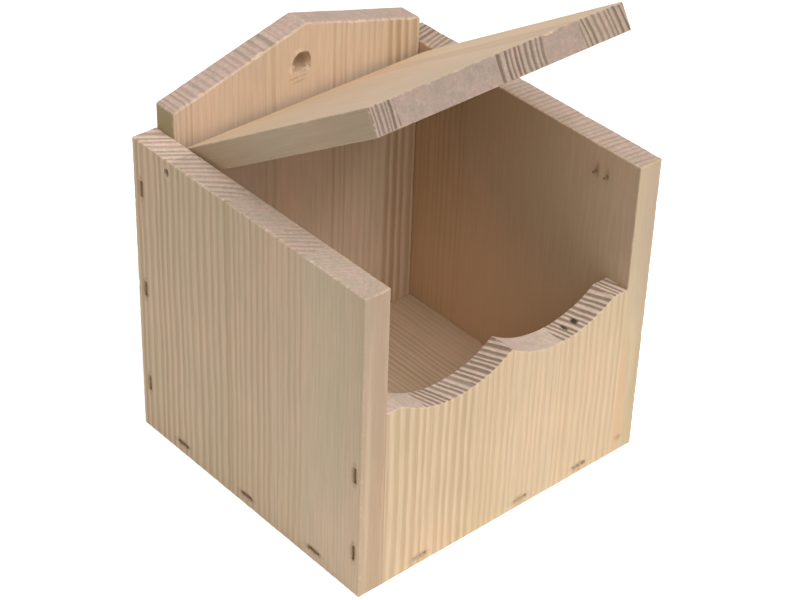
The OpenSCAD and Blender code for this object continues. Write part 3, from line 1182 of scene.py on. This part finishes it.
def staple_place(node):
    """The middle of a CAD staple's crown, its turn, its crown width and its leg length."""
    low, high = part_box(node)
    size = high - low
    _, crown, leg = sorted(range(3), key=lambda i: size[i])
    middle = (low + high) / 2
    at_high = abs(high[leg]) > abs(low[leg])
    middle[leg] = high[leg] if at_high else low[leg]
    outward, along = Vector(), Vector()
    outward[leg] = 1 if at_high else -1
    along[crown] = 1
    turn = Matrix((along, outward.cross(along), outward)).transposed().to_euler()
    return middle, turn, size[crown], size[leg]


class NESTBOX_OT_staples(bpy.types.Operator):
    """Drive the wire staples that hold the boards together, and the lid's stop"""

    bl_idname = "nestbox.staples"
    bl_label = "Staples"

    def execute(self, context):
        steel = context.scene.nestbox_steel
        material = steel_material(steel, "dull_steel", steel.bright)
        tree = staple_tree()
        names = [n for n in frame["nodes"] if "staple" in n and n != "stop_staple"]
        for title, chosen in (("staples", names), ("stop_wire", ["stop_staple"])):
            rows = [staple_place(n) for n in chosen]
            values = {
                "Crown Width": rows[0][2] - 0.0001,
                "Leg Length": rows[0][3] - 0.0001,
                "Wire": steel.wire,
                "Shoulder": steel.shoulder,
                "Steel": material,
            }
            wire = evaluated_mesh(context, title, rows, ("turn",), tree, values)
            finish_piece(title, wire, "box", "staple_steel", *chosen)
        return {"FINISHED"}


def nail_profile(point, top, radius):
    """A nail from the top of its head to its point, as places along it and radii: head, grooves, point."""
    profile = [(top - depth, radius * share) for depth, share in NAIL_HEAD]
    profile += [(top - 0.0014, SHANK * 1.25), (top - 0.0017, SHANK)]
    for step in range(GROOVES):
        place = top - FIRST_GROOVE - step * GROOVE_STEP
        profile += [(place, SHANK), (place - 0.0003, SHANK * 0.94), (place - 0.0006, SHANK)]
    return profile + [(point + 0.0042, SHANK), (point + 0.0012, SHANK * 0.45), (point + 0.0001, 0.0)]


class NESTBOX_OT_hinge_nails(bpy.types.Operator):
    """Turn the two nails that the lid tilts on"""

    bl_idname = "nestbox.hinge_nails"
    bl_label = "Hinge nails"

    def execute(self, context):
        steel = context.scene.nestbox_steel
        material = steel_material(steel, "tarnished_steel", steel.tarnished)
        for name in ("left_hinge_nail", "right_hinge_nail"):
            low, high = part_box(name)
            side = -1 if low.x + high.x < 0 else 1
            radius = (high.z - low.z) / 2
            inner, outer = (low.x, high.x) if side > 0 else (-high.x, -low.x)
            form = bmesh.new()
            verts = [form.verts.new((x * side, r, 0)) for x, r in nail_profile(inner, outer, radius)]
            edges = [form.edges.new(pair) for pair in zip(verts, verts[1:])]
            turn = {"axis": (1, 0, 0), "cent": (0, 0, 0), "steps": NAIL_SIDES, "angle": math.tau}
            bmesh.ops.spin(form, geom=verts + edges, use_merge=True, **turn)
            bmesh.ops.remove_doubles(form, verts=form.verts, dist=1e-6)
            bmesh.ops.recalc_face_normals(form, faces=form.faces)
            form.transform(Matrix.Translation((0, (low.y + high.y) / 2, (low.z + high.z) / 2)))
            mesh = new_mesh(name + "_steel", form)
            mesh.shade_smooth()
            mesh.materials.append(material)
            finish_piece(name + "_steel", mesh, "box", "nail_steel", name)
        return {"FINISHED"}


# ---------------- torn fibres

FIBRES_ROUND_STAPLE, FIBRES_IN_HOLE = 11, 8
CROWN_SINK = 0.0009
BESIDE_CROWN, BEYOND_CROWN = 0.0013, 0.0008
HOLE_HEIGHT = 0.234


def torn_material(wood):
    material, nodes = new_material("torn_wood")
    place = nodes.place() * 1000.0
    patches = nodes.noise(place, 0.9)
    tone = nodes.mix(nodes.ramp(patches, 0.35, 0.7, 0.0, 0.75), wood.worn_wood, wood.late_wood)
    inputs = {"Base Color": tone, "Roughness": nodes.ramp(patches, 0.3, 0.7, 0.7, 0.85)}
    nodes.surface(inputs, nodes.noise(place, 4.0), 0.5)
    return material


def sliver_tree():
    """Tapered slivers of wood on points. Each lies along its point's turn and curls up at its tip."""
    inputs = {"Geometry": "Geometry", "Width": "Float", "Curl": "Float", "Wood": "Material"}
    nodes, given = new_group("torn_slivers", inputs, {"Geometry": "Geometry"}, "GeometryNodeTree")
    line = nodes.add("GeometryNodeMeshLine", {"Count": 6, "Offset": (0.2, 0.0, 0.0)})
    reach = nodes.value("GeometryNodeInputIndex") / 5.0
    lift = nodes.point(0.0, 0.0, reach * reach * given["Curl"])
    bent = nodes.add("GeometryNodeSetPosition", {"Geometry": line, "Offset": lift})
    curve = nodes.add("GeometryNodeMeshToCurve", {"Mesh": bent})
    outline = nodes.add("GeometryNodeCurvePrimitiveCircle", {"Resolution": 4, "Radius": given["Width"]})
    taper = 1.0 - reach * reach + 0.05
    inputs = {"Curve": curve, "Profile Curve": outline, "Scale": taper, "Fill Caps": True}
    size = nodes.value("GeometryNodeInputNamedAttribute", {"Name": "size"}, data_type="FLOAT_VECTOR")
    return on_points(nodes, given, nodes.add("GeometryNodeCurveToMesh", inputs), "Wood", Scale=size)


def sliver(root, towards, normal, length, thickness):
    """A sliver's row: its root, its turn towards a place and off a face, and its size."""
    towards = towards.normalized()
    side = normal.cross(towards).normalized()
    turn = Matrix((towards, side, towards.cross(side))).transposed().to_euler()
    return root, turn, Vector((length, thickness, thickness * 0.6))


class NESTBOX_OT_torn_fibres(bpy.types.Operator):
    """Leave torn slivers round the staples and in the mouth of the hanging hole"""

    bl_idname = "nestbox.torn_fibres"
    bl_label = "Torn fibres"

    def execute(self, context):
        chance = random.Random(11)
        rows = []
        for node in frame["nodes"]:
            if "staple" in node and node != "stop_staple":
                rows += self.round_staple(node, chance)
        rows += self.hanging_hole(chance)
        values = {"Width": 0.22, "Curl": 0.25, "Wood": torn_material(context.scene.nestbox_wood)}
        made = evaluated_mesh(context, "slivers", rows, ("turn", "size"), sliver_tree(), values)
        finish_piece("torn_fibres", made, "box", "back_wood")
        return {"FINISHED"}

    def round_staple(self, node, chance):
        """Slivers beside the crown, along the grain"""
        grain = Vector((0, 0, 1))
        middle, turn, width, _ = staple_place(node)
        crown, _, outward = (column.copy() for column in turn.to_matrix().col)
        aside = crown.cross(outward)
        surface = middle + outward * CROWN_SINK
        for _ in range(FIBRES_ROUND_STAPLE):
            side = chance.choice((-1, 1))
            along = chance.uniform(-0.5, 0.5) * width
            if abs(crown.z) > 0.5:
                root = surface + grain * side * (width / 2 + BEYOND_CROWN)
                root += aside * chance.uniform(-BEYOND_CROWN, BEYOND_CROWN)
                lean = aside * chance.uniform(-0.3, 0.3)
            else:
                root = surface + crown * along + grain * side * BESIDE_CROWN
                lean = crown * chance.uniform(-0.3, 0.3)
            towards = grain * side + lean + outward * chance.uniform(0.05, 0.22)
            size = chance.uniform(0.0014, 0.0032), chance.uniform(0.8, 1.8) * 0.001
            yield sliver(root - outward * 0.0001, towards, outward, *size)

    def hanging_hole(self, chance):
        """Slivers that stand up from the lower rim"""
        centre = Vector((0.0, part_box("back_board")[0].y, HOLE_HEIGHT))
        for _ in range(FIBRES_IN_HOLE):
            turn = math.radians(chance.uniform(195, 320))
            rim = Vector((math.cos(turn), 0, math.sin(turn)))
            root = centre + rim * chance.uniform(0.0064, 0.0086)
            root += Vector((0, chance.uniform(0.0002, 0.0024), 0))
            towards = Vector((chance.uniform(-0.35, 0.35), -chance.uniform(0.0, 0.3), 1.0))
            size = chance.uniform(0.0025, 0.006), chance.uniform(1.4, 2.6) * 0.001
            yield sliver(root, towards, Vector((0, -1, 0)), *size)


# ---------------- stage

# Each lamp's name, the way to it, its strength and how wide it looks, in degrees
LAMPS = (
    ("front_high_light", (0.1, -0.5, 0.85), 1.84, 40),
    ("rear_high_light", (0.0, 0.5, 0.85), 0.62, 50),
    ("left_light", (-0.8, -0.2, 0.55), 0.35, 40),
    ("front_light", (-0.1, -0.9, 0.70), 0.64, 40),
)
CAMERA_PLACE = (-0.74802, -0.82974, 0.90248)
CAMERA_AZIMUTH, CAMERA_FALL, CAMERA_ROLL = 42.30, 35.51, 2.04
SHEET_EDGE = (0.30, 0.55)  # The pale sheet under the box fades into the floor between these distances
FLOOR_RADIUS, FLOOR_GAP, FLOOR_GLOW = 9.0, 0.0003, 0.7


class NESTBOX_OT_stage(bpy.types.Operator):
    """Set the plain floor, the soft lights and the camera"""

    bl_idname = "nestbox.stage"
    bl_label = "Stage"

    def execute(self, context):
        scene = context.scene
        stage = scene.nestbox_stage
        self.floor(stage)
        self.sky(scene, stage)
        for name, towards, share, angle in LAMPS:
            self.sun(name, towards, share * stage.lamps, angle)
        self.camera(scene, stage)
        scene.view_settings.view_transform = "Standard"
        return {"FINISHED"}

    def seen(self, nodes):
        """1 for rays that show the stage itself, 0 for those that light the box"""
        path = nodes.add("ShaderNodeLightPath").outputs
        direct = nodes.math("MAXIMUM", path["Is Camera Ray"], path["Is Glossy Ray"])
        return nodes.math("MAXIMUM", direct, path["Is Transmission Ray"])

    def floor(self, stage):
        form = bmesh.new()
        bmesh.ops.create_circle(form, cap_ends=True, radius=FLOOR_RADIUS, segments=96)
        floor = new_object("floor", new_mesh("floor", form))
        floor.location.z = cad_low.z - FLOOR_GAP
        material, nodes = new_material("pale_floor")
        place = nodes.place()
        shade = nodes.ramp(nodes.noise(place, 3.0, 3.0), 0.3, 0.7, 0.99, 1.0)
        plain = nodes.mix(nodes.ramp(nodes.length(place), *SHEET_EDGE), stage.floor, stage.table)
        matt = nodes.add("ShaderNodeBsdfDiffuse", {"Color": plain * shade})
        strength = self.seen(nodes) * FLOOR_GLOW
        glow = nodes.add("ShaderNodeEmission", {"Color": EVEN, "Strength": strength})
        both = nodes.add("ShaderNodeAddShader", {0: matt, 1: glow})
        nodes.add("ShaderNodeOutputMaterial", {"Surface": both})
        floor.data.materials.append(material)

    def sky(self, scene, stage):
        world = bpy.data.worlds.new("studio")
        world.use_nodes = True
        nodes = Nodes(world.node_tree)
        strength = nodes.ramp(self.seen(nodes), 0.0, 1.0, stage.sky, 1.0, smooth=False)
        back = nodes.add("ShaderNodeBackground", {"Color": EVEN, "Strength": strength})
        nodes.add("ShaderNodeOutputWorld", {"Surface": back})
        scene.world = world

    def sun(self, name, towards, strength, angle):
        lamp = bpy.data.lights.new(name, "SUN")
        lamp.energy = strength
        lamp.angle = math.radians(angle)
        turn = Vector(towards).to_track_quat("Z", "Y")
        new_object(name, lamp).rotation_euler = turn.to_euler()

    def camera(self, scene, stage):
        angles = (CAMERA_AZIMUTH, CAMERA_FALL, CAMERA_ROLL)
        azimuth, elevation, roll = (math.radians(a) for a in angles)
        level = math.cos(elevation)
        forward = Vector((math.sin(azimuth) * level, math.cos(azimuth) * level, -math.sin(elevation)))
        right = forward.cross(Vector((0, 0, 1))).normalized()
        up = right.cross(forward)
        across = right * math.cos(roll) + up * math.sin(roll)
        upward = up * math.cos(roll) - right * math.sin(roll)
        lens = bpy.data.cameras.new("camera")
        lens.sensor_width = 36.0
        lens.lens = stage.lens
        camera = new_object("camera", lens)
        turn = Matrix((across, upward, -forward)).transposed().to_4x4()
        camera.matrix_world = Matrix.Translation(CAMERA_PLACE) @ turn
        scene.camera = camera


class NESTBOX_PT_panel(bpy.types.Panel):
    """The nest box's pieces and its stage"""

    bl_label = "Nest Box"
    bl_idname = "NESTBOX_PT_panel"
    bl_space_type = "VIEW_3D"
    bl_region_type = "UI"
    bl_category = "Nest Box"

    def draw(self, context):
        layout = self.layout
        for operator in OPERATORS:
            layout.operator(operator.bl_idname)


GROUPS = {
    "nestbox_wood": NESTBOX_PG_wood,
    "nestbox_arris": NESTBOX_PG_arris,
    "nestbox_steel": NESTBOX_PG_steel,
    "nestbox_stage": NESTBOX_PG_stage,
}
OPERATORS = (
    NESTBOX_OT_side_walls,
    NESTBOX_OT_front_board,
    NESTBOX_OT_back_board,
    NESTBOX_OT_floor_board,
    NESTBOX_OT_lid,
    NESTBOX_OT_staples,
    NESTBOX_OT_hinge_nails,
    NESTBOX_OT_torn_fibres,
    NESTBOX_OT_stage,
)


def register():
    for kind in (*GROUPS.values(), *OPERATORS, NESTBOX_PT_panel):
        bpy.utils.register_class(kind)
    for name, kind in GROUPS.items():
        setattr(bpy.types.Scene, name, PointerProperty(type=kind))


def unregister():
    for name in GROUPS:
        delattr(bpy.types.Scene, name)
    for kind in reversed((*GROUPS.values(), *OPERATORS, NESTBOX_PT_panel)):
        bpy.utils.unregister_class(kind)


def main():
    register()
    for operator in OPERATORS:
        group, name = operator.bl_idname.split(".")
        getattr(getattr(bpy.ops, group), name)()


if __name__ == "__main__":
    main()
